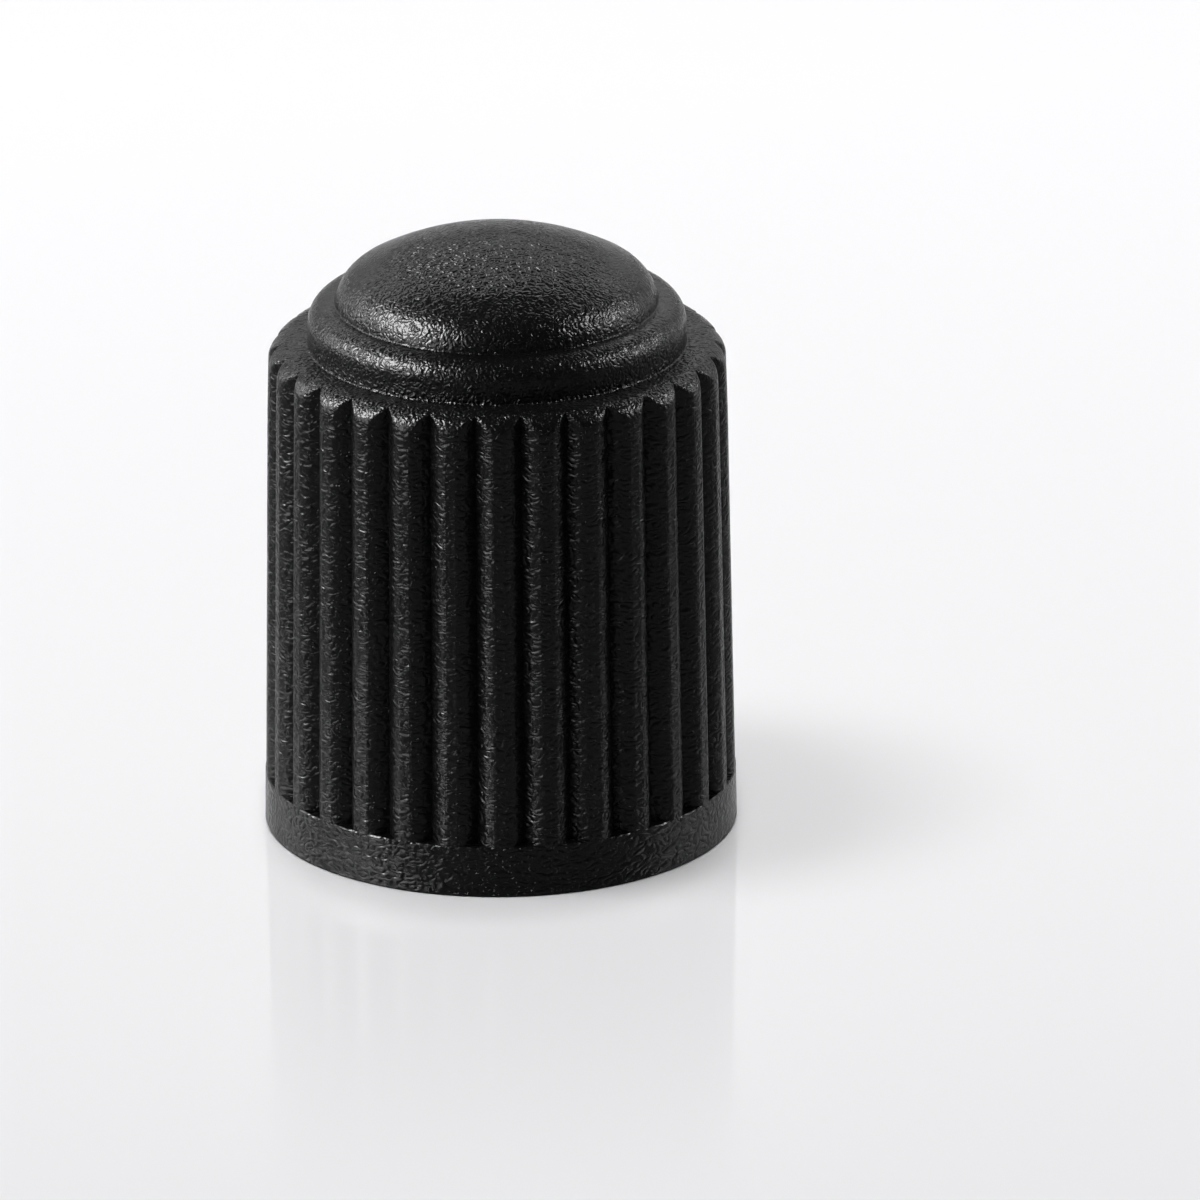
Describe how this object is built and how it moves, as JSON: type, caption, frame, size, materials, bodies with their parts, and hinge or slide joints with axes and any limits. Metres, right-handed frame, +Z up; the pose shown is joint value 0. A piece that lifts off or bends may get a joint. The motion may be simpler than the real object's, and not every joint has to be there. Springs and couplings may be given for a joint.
{
  "type": "tyre valve cap",
  "caption": "Black moulded dust cap with a fluted grip, a bead and a domed top, which screws over the end of a tyre valve stem.",
  "frame": {"origin": "centre of the open end's face, which the cap stands on", "axes": "+Z up the cap's axis to the top of the dome, +X through the middle of one flute"},
  "size_m": [0.0104, 0.0104, 0.0135],
  "materials": {
    "black_plastic": "moulded black plastic, satin, with a fine wrinkled grain on the outside"
  },
  "bodies": {
    "root": {"cap": "black_plastic"}
  },
  "joints": []
}
